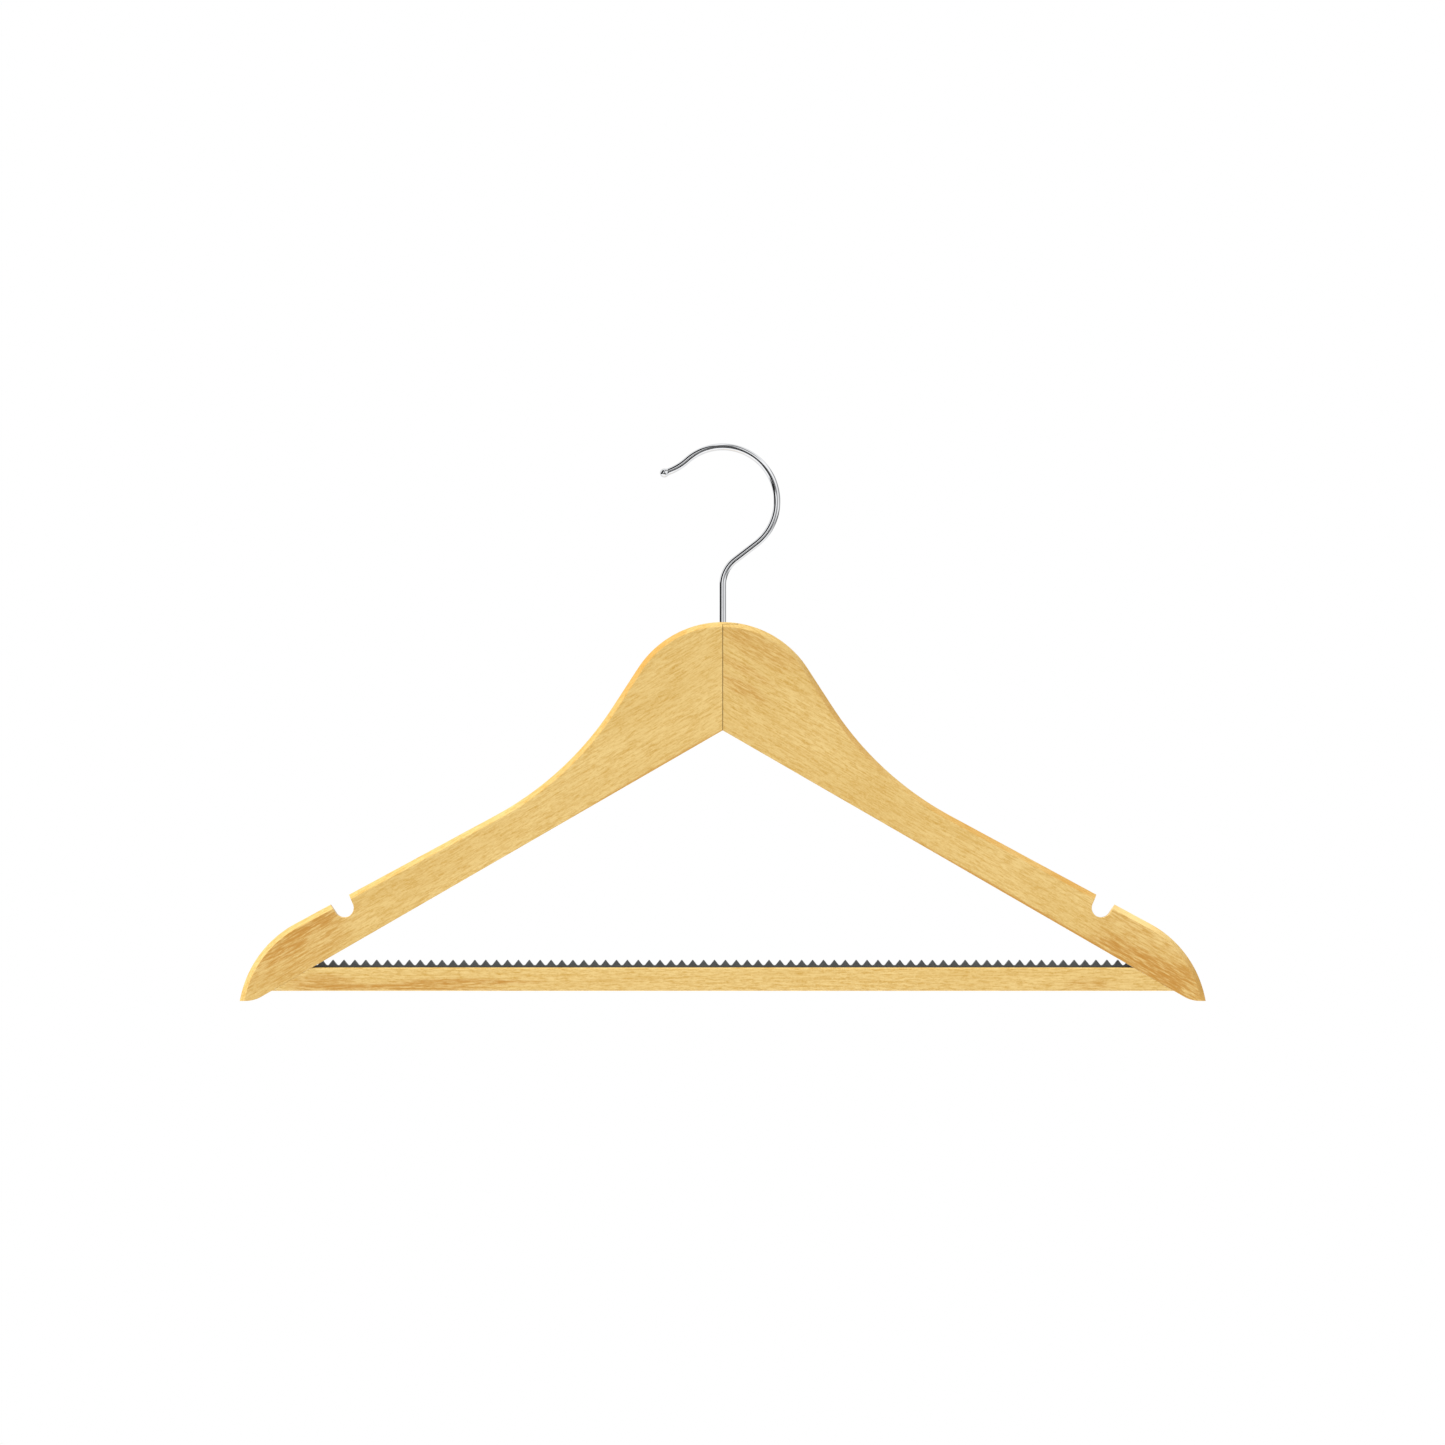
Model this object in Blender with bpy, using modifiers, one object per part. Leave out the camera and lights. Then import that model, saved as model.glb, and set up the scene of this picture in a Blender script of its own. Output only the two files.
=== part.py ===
"""Flat wooden clothes hanger with a swivelling wire hook and a toothed trouser bar.

Metres, +Z up. The hanger hangs in the XZ plane: X runs across the shoulders and Y through the
board. The origin is the hook's seat, the inside of its top, where it rests on a rail.

The wooden pieces are drawn in the swivel's own frame, whose origin is the crown, the top of the
neck, on the axis of the hook's shank. Its empty hangs below the seat.
"""

import math

import bmesh
import bpy
from mathutils import Matrix, Vector

# ---- Board and fits ----------------------------------------------------------------------------
BOARD = 0.012  # thickness of the arms and of the trouser bar
GAP = 0.0003  # clearance between pieces that touch
ARC_STEP = math.radians(4)  # turn between two points of an outline's arc
FLAT = math.radians(0.1)  # faces that meet flatter than this are one face
WELD = 0.000001  # points closer than this are one point
UPRIGHT = 0.5  # a rim face's normal has less than this along Y

# ---- Arms, along the upper edge from the crown to the tip --------------------------------------
CROWN_RADIUS = 0.0465
FLANK_PITCH = math.radians(57)  # steepest slope of the neck's side
FLANK_LENGTH = 0.0217
SCOOP_RADIUS = 0.1485  # hollow curve from the neck to the shoulder
SHOULDER_PITCH = math.radians(28.4)
SHOULDER_LENGTH = 0.1049
TIP_RADIUS = 0.0498
TIP_PITCH = math.radians(80.4)
HEEL_RADIUS = 0.0155  # fillet from the tip's flat base to the underside
UNDERSIDE_PITCH = math.radians(30)
NECK_HEIGHT = 0.0499  # from the crown down to the V of the undersides
ROUND_OVER = 0.0021  # radius of the upper edges
EASE = 0.0004  # radius of the lower edges
ROUND_SEGMENTS = 4

# ---- Strap notches in the shoulders ------------------------------------------------------------
NOTCH_RADIUS = 0.00445
NOTCH_X = 0.1744  # centre of the notch's round bottom
NOTCH_BELOW_CROWN = 0.1316
NOTCH_MOUTH = 0.0049  # half width at the shoulder

# ---- Neck joint: each arm has one tongue and one groove, so the two arms are the same ----------
TONGUE_LENGTH = 0.007
TONGUE_ROOT = 0.0025
TONGUE_TIP = 0.0015
TONGUE_OFFSET = 0.00365  # from the middle of the board to the middle of the tongue

# ---- Hook --------------------------------------------------------------------------------------
HOOK_RISE = 0.0792  # from the crown up to the seat
WIRE = 0.0032
LOOP_RADIUS = 0.025  # centreline
LOOP_PITCH = math.radians(37.6)  # slope of the straight run from the bend into the loop
BEND_RADIUS = 0.014
LOOP_END = math.radians(222)  # heading where the loop turns into the outward curl
CURL_RADIUS = 0.0255
CURL_END = math.radians(198)
BALL = 0.0042
BALL_SEGMENTS = 16
BALL_RINGS = 10
WIRE_RESOLUTION = 4  # extra points in each quarter of the wire's section

# ---- Bore, washer and lock nut that hold the hook ----------------------------------------------
BORE = WIRE + 2 * GAP
COUNTERBORE = 0.0086
COUNTERBORE_TOP = 0.036  # below the crown
WASHER = 0.0080
WASHER_THICKNESS = 0.0008
NUT_FLATS = 0.0055
NUT_HEIGHT = 0.0024
NUT_SIDES = 6
SHANK_END = 0.0415  # below the crown

# ---- Trouser bar and its dowels ----------------------------------------------------------------
BAR_HEIGHT = 0.0108
BAR_BASE = 0.00465  # above the tips' flat base
BAR_EASE = 0.0008
BAR_EASE_SEGMENTS = 2
DOWEL = 0.004
DOWEL_LENGTH = 0.024
DOWEL_X = 0.1994  # middle of the dowel
DOWEL_ABOVE_BASE = 0.0092  # above the tips' flat base
DOWEL_CHAMFER = 0.0004
DOWEL_SIDES = 20
TRIMMER_LENGTH = 0.12
TRIMMER_HEIGHT = 0.04

# ---- Grip strip --------------------------------------------------------------------------------
STRIP_WIDTH = 0.008
STRIP_BASE = 0.0009  # thickness below the valleys of the teeth
TOOTH_HEIGHT = 0.0025
TOOTH_PITCH = 0.005025
TOOTH_LAND = 0.0002  # flat at the top of a tooth
VALLEY_HALF = 0.0007  # half width of the round between two teeth
VALLEY_RISE = 0.0003
TOOTH_SHIFT = 0.00125  # from the middle of the hanger to the nearest tooth
STEM_WIDTH = 0.0016
BARB_WIDTH = 0.0024
STEM_DEPTH = 0.0026
STEM_END = 0.1944  # from the middle of the hanger, just short of the strip's end
GROOVE_WIDTH = BARB_WIDTH + 2 * GAP
GROOVE_DEPTH = STEM_DEPTH + GAP

ROUND_SIDES = 32  # facets round a drilled hole, dowel or washer
OVERSHOOT = 0.01  # how far a cutter runs past what it cuts
CREASE = math.radians(35)  # edges sharper than this stay sharp
TOOTH_CREASE = math.radians(20)

WOOD = ((0.79, 0.53, 0.19), 0.42, 0.0)
DOWEL_WOOD = ((0.66, 0.45, 0.24), 0.6, 0.0)
CHROME = ((0.75, 0.76, 0.78), 0.08, 1.0)
ZINC = ((0.56, 0.57, 0.58), 0.3, 1.0)
CHARCOAL_VINYL = ((0.035, 0.036, 0.038), 0.55, 0.0)


# ---- Helpers -----------------------------------------------------------------------------------
def clear_scene():
    for old in list(bpy.data.objects):
        bpy.data.objects.remove(old, do_unlink=True)


def new_collection(name):
    collection = bpy.data.collections.new(name)
    bpy.context.scene.collection.children.link(collection)
    return collection


def new_material(name, look):
    colour, roughness, metallic = look
    material = bpy.data.materials.new(name)
    material.use_nodes = True
    shader = material.node_tree.nodes["Principled BSDF"]
    shader.inputs["Base Color"].default_value = (*colour, 1.0)
    shader.inputs["Roughness"].default_value = roughness
    shader.inputs["Metallic"].default_value = metallic
    return material


def trace(start, heading, moves):
    """Points of a path of lines (length, None) and arcs (radius, new heading) in the XZ plane."""
    points = [Vector(start)]
    for size, new_heading in moves:
        here = points[-1]
        if new_heading is None:
            points.append(here + size * Vector((math.cos(heading), math.sin(heading))))
            continue
        turn = new_heading - heading
        side = math.copysign(size, turn)
        centre = here + side * Vector((-math.sin(heading), math.cos(heading)))
        steps = max(2, math.ceil(abs(turn) / ARC_STEP))
        for step in range(1, steps + 1):
            angle = heading + turn * step / steps
            points.append(centre + side * Vector((math.sin(angle), -math.cos(angle))))
        heading = new_heading
    return points


def object_from_curve(curve, name, collection):
    """The curve's surface as a welded mesh object."""
    guide = bpy.data.objects.new(name, curve)
    bpy.context.scene.collection.objects.link(guide)
    bpy.context.view_layer.update()
    depsgraph = bpy.context.evaluated_depsgraph_get()
    mesh = bpy.data.meshes.new_from_object(guide.evaluated_get(depsgraph))
    bpy.data.objects.remove(guide, do_unlink=True)
    bpy.data.curves.remove(curve)
    shape = bmesh.new()
    shape.from_mesh(mesh)
    bmesh.ops.remove_doubles(shape, verts=shape.verts, dist=WELD)
    bmesh.ops.dissolve_limit(shape, angle_limit=FLAT, verts=shape.verts, edges=shape.edges)
    bmesh.ops.recalc_face_normals(shape, faces=shape.faces)
    shape.to_mesh(mesh)
    shape.free()
    mesh.name = name
    piece = bpy.data.objects.new(name, mesh)
    collection.objects.link(piece)
    return piece


def plate(name, outline, thickness, collection):
    """A flat outline in its own XY plane, extruded equally to both sides."""
    curve = bpy.data.curves.new(name, "CURVE")
    curve.dimensions = "2D"
    curve.fill_mode = "BOTH"
    curve.extrude = thickness / 2
    spline = curve.splines.new("POLY")
    spline.points.add(len(outline) - 1)
    for point, (x, y) in zip(spline.points, outline):
        point.co = (x, y, 0.0, 1.0)
    spline.use_cyclic_u = True
    return object_from_curve(curve, name, collection)


def turn_mesh(piece, matrix):
    """Turns a piece's own mesh, so that its object needs no rotation."""
    piece.data.transform(matrix)


def box(name, size, collection):
    mesh = bpy.data.meshes.new(name)
    shape = bmesh.new()
    bmesh.ops.create_cube(shape, size=1.0, matrix=Matrix.Diagonal((*size, 1.0)))
    shape.to_mesh(mesh)
    shape.free()
    piece = bpy.data.objects.new(name, mesh)
    collection.objects.link(piece)
    return piece


def cylinder(name, radius, length, collection, sides=ROUND_SIDES):
    """A closed cylinder along Z, centred on its origin."""
    mesh = bpy.data.meshes.new(name)
    shape = bmesh.new()
    bmesh.ops.create_cone(
        shape, cap_ends=True, segments=sides, radius1=radius, radius2=radius, depth=length
    )
    shape.to_mesh(mesh)
    shape.free()
    piece = bpy.data.objects.new(name, mesh)
    collection.objects.link(piece)
    return piece


def add_boolean(piece, cutter, operation="DIFFERENCE"):
    """Cuts a piece, or joins it, with a cutter that is drawn in the piece's own frame."""
    cutter.parent = piece.parent
    modifier = piece.modifiers.new(cutter.name, "BOOLEAN")
    modifier.operation = operation
    modifier.object = cutter


def add_bevel(piece, width, segments, limit="ANGLE"):
    modifier = piece.modifiers.new("round", "BEVEL")
    modifier.width = width
    modifier.segments = segments
    modifier.limit_method = limit
    modifier.use_clamp_overlap = limit == "ANGLE"


def hide_cutters(collection):
    for cutter in collection.objects:
        cutter.hide_render = True
        cutter.display_type = "WIRE"


def finish(piece, material, smooth_below=CREASE):
    piece.data.materials.clear()
    piece.data.materials.append(material)
    piece.data.shade_smooth()
    piece.data.set_sharp_from_angle(angle=smooth_below)


# ---- Arms --------------------------------------------------------------------------------------
def underside_z(x):
    """Height of the arms' straight underside, from the crown."""
    return -NECK_HEIGHT - abs(x) * math.tan(UNDERSIDE_PITCH)


def upper_edge():
    """Upper edge of the right arm, from the crown to the tip's base."""
    moves = [
        (CROWN_RADIUS, -FLANK_PITCH),
        (FLANK_LENGTH, None),
        (SCOOP_RADIUS, -SHOULDER_PITCH),
        (SHOULDER_LENGTH, None),
        (TIP_RADIUS, -TIP_PITCH),
    ]
    return trace((0.0, 0.0), 0.0, moves)


def lower_edge(base_z):
    """Lower edge of the right arm, from the flat base round the heel to the V of the neck."""
    corner_x = (-NECK_HEIGHT - base_z) / math.tan(UNDERSIDE_PITCH)
    tangent = HEEL_RADIUS * math.tan(UNDERSIDE_PITCH / 2)
    heel = trace((corner_x + tangent, base_z), math.pi, [(HEEL_RADIUS, math.pi - UNDERSIDE_PITCH)])
    return heel + [Vector((0.0, -NECK_HEIGHT))]


def mark_rounded_edges(piece):
    """Upper rims get the full round-over, lower rims only eased corners."""
    shape = bmesh.new()
    shape.from_mesh(piece.data)
    weight = shape.edges.layers.float.new("bevel_weight_edge")
    for edge in shape.edges:
        sides = [face for face in edge.link_faces if abs(face.normal.y) < UPRIGHT]
        if len(sides) == 1:
            edge[weight] = 1.0 if sides[0].normal.z > 0 else EASE / ROUND_OVER
    shape.to_mesh(piece.data)
    shape.free()


def make_blank(collection):
    """Both arms as one board, before the neck joint parts them."""
    upper = upper_edge()
    right = upper + lower_edge(upper[-1].y)
    left = [Vector((-point.x, point.y)) for point in reversed(right[1:-1])]
    blank = plate("blank", right + left, BOARD, collection)
    turn_mesh(blank, Matrix.Rotation(math.pi / 2, 4, "X"))
    mark_rounded_edges(blank)
    add_bevel(blank, ROUND_OVER, ROUND_SEGMENTS, limit="WEIGHT")
    return blank


def neck_end_cutter(collection):
    """Everything to the right of the left arm's end, tongue and groove included."""
    reach = BOARD / 2 + OVERSHOOT
    slack = GAP / 2
    tongue_root = TONGUE_ROOT / 2 - slack
    tongue_tip = TONGUE_TIP / 2 - slack
    groove_root = TONGUE_ROOT / 2 + slack
    groove_tip = TONGUE_TIP / 2 + slack
    joint = [
        (-slack, -reach),
        (-slack, -TONGUE_OFFSET - tongue_root),
        (TONGUE_LENGTH - slack, -TONGUE_OFFSET - tongue_tip),
        (TONGUE_LENGTH - slack, -TONGUE_OFFSET + tongue_tip),
        (-slack, -TONGUE_OFFSET + tongue_root),
        (-slack, TONGUE_OFFSET - groove_root),
        (-TONGUE_LENGTH - slack, TONGUE_OFFSET - groove_tip),
        (-TONGUE_LENGTH - slack, TONGUE_OFFSET + groove_tip),
        (-slack, TONGUE_OFFSET + groove_root),
        (-slack, reach),
    ]
    far_x = upper_edge()[-1].x + OVERSHOOT
    far_side = [(far_x, reach), (far_x, -reach)]
    height = 2 * (OVERSHOOT - upper_edge()[-1].y)
    return plate("neck_end_cutter", joint + far_side, height, collection)


def notch_cutter(collection):
    """A round-bottomed slot, square to the left shoulder and a little wider at its mouth."""
    depth = 2 * NOTCH_RADIUS
    bottom = trace((-NOTCH_RADIUS, 0.0), -math.pi / 2, [(NOTCH_RADIUS, math.pi / 2)])
    mouth = [(NOTCH_MOUTH, depth / 2), (NOTCH_MOUTH, depth)]
    mouth += [(-x, y) for x, y in reversed(mouth)]
    outline = [tuple(point) for point in bottom] + mouth
    cutter = plate("notch_cutter", outline, BOARD + 2 * OVERSHOOT, collection)
    upright = Matrix.Rotation(math.pi / 2, 4, "X")
    turn_mesh(cutter, Matrix.Rotation(-SHOULDER_PITCH, 4, "Y") @ upright)
    cutter.location = (-NOTCH_X, 0.0, -NOTCH_BELOW_CROWN)
    return cutter


def shank_cutters(collection):
    """The hook's running bore and the counterbore for its washer and nut."""
    bore = cylinder("bore_cutter", BORE / 2, COUNTERBORE_TOP + 2 * OVERSHOOT, collection)
    bore.location.z = -COUNTERBORE_TOP / 2
    depth = NECK_HEIGHT - COUNTERBORE_TOP + OVERSHOOT
    counterbore = cylinder("counterbore_cutter", COUNTERBORE / 2, depth, collection)
    counterbore.location.z = -COUNTERBORE_TOP - depth / 2
    return [bore, counterbore]


def dowel_z(base_z):
    return base_z + DOWEL_ABOVE_BASE


def dowel_cutter(name, side, base_z, collection):
    socket = cylinder(name, DOWEL / 2 + GAP, DOWEL_LENGTH + 2 * GAP, collection)
    socket.rotation_euler.y = math.pi / 2
    socket.location = (side * DOWEL_X, 0.0, dowel_z(base_z))
    return socket


def make_arms(parts, cutters, swivel, material, socket):
    """The left arm is cut from the blank, and the right arm is the same piece turned round."""
    blank = make_blank(cutters)
    for cutter in [neck_end_cutter(cutters), notch_cutter(cutters), *shank_cutters(cutters), socket]:
        add_boolean(blank, cutter)
    bpy.context.view_layer.update()
    depsgraph = bpy.context.evaluated_depsgraph_get()
    mesh = bpy.data.meshes.new_from_object(blank.evaluated_get(depsgraph))
    bpy.data.objects.remove(blank, do_unlink=True)
    mesh.name = "arm"
    for name, turn in (("left_arm", 0.0), ("right_arm", math.pi)):
        arm = bpy.data.objects.new(name, mesh)
        parts.objects.link(arm)
        arm.rotation_euler.z = turn
        arm.parent = swivel
        finish(arm, material)


# ---- Trouser bar -------------------------------------------------------------------------------
def end_trimmers(collection):
    """Blocks above the arms' undersides, which give the bar and the strip their slanted ends."""
    trimmers = []
    for name, side in (("left_trimmer", -1), ("right_trimmer", 1)):
        size = (TRIMMER_LENGTH, BOARD + 2 * OVERSHOOT, TRIMMER_HEIGHT)
        trimmer = box(name, size, collection)
        lift = TRIMMER_HEIGHT / 2 - GAP
        normal = Vector((side * math.sin(UNDERSIDE_PITCH), 0.0, math.cos(UNDERSIDE_PITCH)))
        foot = Vector((side * DOWEL_X, 0.0, underside_z(DOWEL_X)))
        trimmer.location = foot + lift * normal
        trimmer.rotation_euler.y = side * UNDERSIDE_PITCH
        trimmers.append(trimmer)
    return trimmers


def make_bar(parts, cutters, swivel, material, base_z, trimmers, sockets):
    length = 2 * (DOWEL_X + 2 * OVERSHOOT)
    bar = box("trouser_bar", (length, BOARD, BAR_HEIGHT), parts)
    bar.location.z = base_z + BAR_BASE + BAR_HEIGHT / 2
    bar.parent = swivel
    add_bevel(bar, BAR_EASE, BAR_EASE_SEGMENTS)
    groove = box("groove_cutter", (length + OVERSHOOT, GROOVE_WIDTH, 2 * GROOVE_DEPTH), cutters)
    groove.location.z = bar_top_z(base_z)
    for cutter in [groove, *trimmers, *sockets]:
        add_boolean(bar, cutter)
    finish(bar, material)


def bar_top_z(base_z):
    return base_z + BAR_BASE + BAR_HEIGHT


def make_dowels(parts, swivel, material, base_z):
    for name, side in (("left_bar_dowel", -1), ("right_bar_dowel", 1)):
        dowel = cylinder(name, DOWEL / 2, DOWEL_LENGTH, parts, sides=DOWEL_SIDES)
        dowel.rotation_euler.y = math.pi / 2
        dowel.location = (side * DOWEL_X, 0.0, dowel_z(base_z))
        dowel.parent = swivel
        add_bevel(dowel, DOWEL_CHAMFER, segments=1)
        finish(dowel, material)


# ---- Grip strip --------------------------------------------------------------------------------
def tooth(middle):
    """Upper outline of one tooth, from the valley on its left to the one on its right."""
    half = TOOTH_PITCH / 2
    right = [
        (TOOTH_LAND / 2, TOOTH_HEIGHT),
        (half - VALLEY_HALF, VALLEY_RISE),
        (half - VALLEY_HALF / 2, VALLEY_RISE / 4),
    ]
    left = [(-x, z) for x, z in reversed(right)]
    return [(middle + x, STRIP_BASE + z) for x, z in left + right + [(half, 0.0)]]


def make_strip(parts, cutters, swivel, material, base_z, trimmers):
    """A toothed flange on a barbed stem, pressed into the bar's groove."""
    teeth_each_side = math.floor(DOWEL_X / TOOTH_PITCH)
    outline = []
    for index in range(-teeth_each_side, teeth_each_side + 1):
        outline += tooth(index * TOOTH_PITCH + TOOTH_SHIFT)
    outline = [(outline[0][0], 0.0), *outline, (outline[-1][0], 0.0)]
    outline.reverse()
    strip = plate("grip_strip", outline, STRIP_WIDTH, parts)
    turn_mesh(strip, Matrix.Rotation(math.pi / 2, 4, "X"))
    strip.location.z = bar_top_z(base_z) + GAP
    strip.parent = swivel

    stem_top = STRIP_BASE / 2
    barb_z = -STEM_DEPTH / 2
    profile = [
        (STEM_WIDTH / 2, stem_top),
        (STEM_WIDTH / 2, barb_z + BARB_WIDTH / 2 - STEM_WIDTH / 2),
        (BARB_WIDTH / 2, barb_z),
        (STEM_WIDTH / 2, -STEM_DEPTH),
    ]
    profile += [(-y, z) for y, z in reversed(profile)]
    stem = plate("stem_joiner", profile, 2 * STEM_END, cutters)
    turn_mesh(stem, Matrix.Rotation(math.pi / 2, 4, "Z") @ Matrix.Rotation(math.pi / 2, 4, "X"))
    stem.location.z = strip.location.z
    add_boolean(strip, stem, "UNION")
    for cutter in trimmers:
        add_boolean(strip, cutter)
    finish(strip, material, smooth_below=TOOTH_CREASE)


# ---- Hook, washer and nut ----------------------------------------------------------------------
def hook_path():
    """Centreline in the seat's frame, from the shank's end up round the loop to the curled tip."""
    run_x = LOOP_RADIUS * math.sin(LOOP_PITCH) - BEND_RADIUS * (1 - math.sin(LOOP_PITCH))
    run = run_x / math.cos(LOOP_PITCH)
    rise = (BEND_RADIUS + LOOP_RADIUS) * math.cos(LOOP_PITCH) + run * math.sin(LOOP_PITCH)
    loop_z = WIRE / 2 - LOOP_RADIUS
    shank_bottom = -HOOK_RISE - SHANK_END
    shank = loop_z - rise - shank_bottom
    moves = [
        (shank, None),
        (BEND_RADIUS, LOOP_PITCH),
        (run, None),
        (LOOP_RADIUS, LOOP_END),
        (CURL_RADIUS, CURL_END),
    ]
    return trace((0.0, shank_bottom), math.pi / 2, moves)


def make_hook(parts, cutters, material):
    points = hook_path()
    curve = bpy.data.curves.new("hook", "CURVE")
    curve.dimensions = "3D"
    curve.bevel_depth = WIRE / 2
    curve.bevel_resolution = WIRE_RESOLUTION
    curve.use_fill_caps = True
    spline = curve.splines.new("POLY")
    spline.points.add(len(points) - 1)
    for point, (x, z) in zip(spline.points, points):
        point.co = (x, 0.0, z, 1.0)
    hook = object_from_curve(curve, "hook", parts)

    ball_mesh = bpy.data.meshes.new("ball_joiner")
    shape = bmesh.new()
    bmesh.ops.create_uvsphere(shape, u_segments=BALL_SEGMENTS, v_segments=BALL_RINGS, radius=BALL / 2)
    shape.to_mesh(ball_mesh)
    shape.free()
    ball = bpy.data.objects.new("ball_joiner", ball_mesh)
    cutters.objects.link(ball)
    reach = points[-1] + BALL / 4 * Vector((math.cos(CURL_END), math.sin(CURL_END)))
    ball.location = (reach.x, 0.0, reach.y)
    add_boolean(hook, ball, "UNION")
    finish(hook, material)


def make_washer(parts, swivel, material):
    """A turned ring, drawn as half its section."""
    inner = BORE / 2
    outer = WASHER / 2
    half = WASHER_THICKNESS / 2
    profile = [(outer, half), (outer, -half), (inner, -half), (inner, half)]
    mesh = bpy.data.meshes.new("hook_washer")
    edges = [(0, 1), (1, 2), (2, 3), (3, 0)]
    mesh.from_pydata([(x, 0.0, z) for x, z in profile], edges, [])
    washer = bpy.data.objects.new("hook_washer", mesh)
    parts.objects.link(washer)
    washer.location.z = -COUNTERBORE_TOP - GAP - half
    washer.parent = swivel
    screw = washer.modifiers.new("turn", "SCREW")
    screw.steps = ROUND_SIDES
    screw.render_steps = ROUND_SIDES
    screw.use_merge_vertices = True
    screw.merge_threshold = WELD
    finish(washer, material)


def make_nut(parts, cutters, material):
    nut = cylinder("hook_nut", NUT_FLATS / math.sqrt(3), NUT_HEIGHT, parts, sides=NUT_SIDES)
    top = COUNTERBORE_TOP + WASHER_THICKNESS + 2 * GAP
    nut.location.z = -HOOK_RISE - top - NUT_HEIGHT / 2
    bore = cylinder("nut_cutter", BORE / 2, NUT_HEIGHT + 2 * OVERSHOOT, cutters)
    bore.location = nut.location
    add_boolean(nut, bore)
    finish(nut, material)


def main():
    clear_scene()
    parts = new_collection("clothes_hanger")
    cutters = new_collection("cutters")
    wood = new_material("wood", WOOD)
    dowel_wood = new_material("dowel_wood", DOWEL_WOOD)
    chrome = new_material("chrome", CHROME)
    zinc = new_material("zinc", ZINC)
    vinyl = new_material("grip_vinyl", CHARCOAL_VINYL)

    swivel = bpy.data.objects.new("swivel", None)
    parts.objects.link(swivel)

    base_z = upper_edge()[-1].y
    trimmers = end_trimmers(cutters)
    sockets = [
        dowel_cutter("left_socket", -1, base_z, cutters),
        dowel_cutter("right_socket", 1, base_z, cutters),
    ]
    make_arms(parts, cutters, swivel, wood, sockets[0])
    make_bar(parts, cutters, swivel, wood, base_z, trimmers, sockets)
    make_dowels(parts, swivel, dowel_wood, base_z)
    make_strip(parts, cutters, swivel, vinyl, base_z, trimmers)
    make_washer(parts, swivel, zinc)
    make_hook(parts, cutters, chrome)
    make_nut(parts, cutters, zinc)
    hide_cutters(cutters)
    swivel.location.z = -HOOK_RISE


main()
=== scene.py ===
"""A flat wooden clothes hanger with a swivelling chromed hook and a toothed trouser bar.

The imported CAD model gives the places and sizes. Each piece is built again here at a finer
resolution, with a procedural material. Metres, +Z up, origin at the hook's seat.
"""

import math

import bmesh
import bpy
from mathutils import Matrix, Vector

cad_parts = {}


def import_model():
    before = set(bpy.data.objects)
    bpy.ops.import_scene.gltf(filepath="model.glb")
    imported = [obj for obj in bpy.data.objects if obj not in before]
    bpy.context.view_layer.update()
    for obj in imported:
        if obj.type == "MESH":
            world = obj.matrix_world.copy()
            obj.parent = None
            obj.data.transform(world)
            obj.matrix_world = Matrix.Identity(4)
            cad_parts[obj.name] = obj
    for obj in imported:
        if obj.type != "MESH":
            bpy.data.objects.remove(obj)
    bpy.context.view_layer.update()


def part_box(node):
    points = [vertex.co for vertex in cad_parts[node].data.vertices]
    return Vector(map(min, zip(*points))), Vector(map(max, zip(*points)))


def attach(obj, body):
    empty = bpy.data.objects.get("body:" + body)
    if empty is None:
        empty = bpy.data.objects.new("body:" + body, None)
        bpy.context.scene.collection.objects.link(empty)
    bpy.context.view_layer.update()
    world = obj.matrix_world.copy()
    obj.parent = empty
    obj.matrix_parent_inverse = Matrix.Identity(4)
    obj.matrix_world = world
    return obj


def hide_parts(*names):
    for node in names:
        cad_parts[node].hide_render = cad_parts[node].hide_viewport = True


# ---- Resolution and small gaps -----------------------------------------------------------------
ARC_STEP = math.radians(1.25)  # the longest piece of an arc
ROD_SIDES = 64
FINE_SIDES = 72
SMALL_EASE_SEGMENTS = 3
OVERSHOOT = 0.01  # how far a cutter reaches past what it cuts
HAIR = 0.00002  # what is left between glued pieces

# ---- Creases: degrees between faces above which an edge is shaded sharp ------------------------
ARM_CREASE = 16
BAR_CREASE = 24
STRIP_CREASE = 28
METAL_CREASE = 30
DOWEL_CREASE = 40
WIRE_CREASE = 60

# ---- Arms: outline along the upper edge from the crown to the tip ------------------------------
CROWN_RADIUS = 0.0465
FLANK_PITCH = math.radians(57)
FLANK_LENGTH = 0.0217
SCOOP_RADIUS = 0.1485
SHOULDER_PITCH = math.radians(28.4)
SHOULDER_LENGTH = 0.1049
TIP_RADIUS = 0.0498
TIP_PITCH = math.radians(80.4)
HEEL_RADIUS = 0.0155
UNDERSIDE_PITCH = math.radians(30)
NECK_HEIGHT = 0.0499  # from the crown down to the V under the neck
ROUND_OVER = 0.0022  # the upper edges
EASE = 0.00012  # the lower edges
EDGE_SEGMENTS = 7
EDGE_PROFILE = 0.275  # between a chamfer, 0.25, and a full round, 0.5
SEAM = 0.0003  # gap in the neck joint

# ---- Strap notches -----------------------------------------------------------------------------
NOTCH_RADIUS = 0.00445
NOTCH_X = 0.1744
NOTCH_BELOW_CROWN = 0.1316
NOTCH_MOUTH = 0.0049  # half the width at the shoulder
NOTCH_EASE = 0.0003
# A quarter round from a face into the notch: depth and flare as shares of the ease.
NOTCH_FLARES = ((0.0, 1.0), (0.07, 0.62), (0.29, 0.29), (0.62, 0.07), (1.0, 0.0))

# ---- Neck joint: one tongue and one groove on each arm -----------------------------------------
TONGUE_LENGTH = 0.007
TONGUE_ROOT = 0.0025  # thickness at the seam
TONGUE_TIP = 0.0015
TONGUE_OFFSET = 0.00365  # from the board's middle

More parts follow.
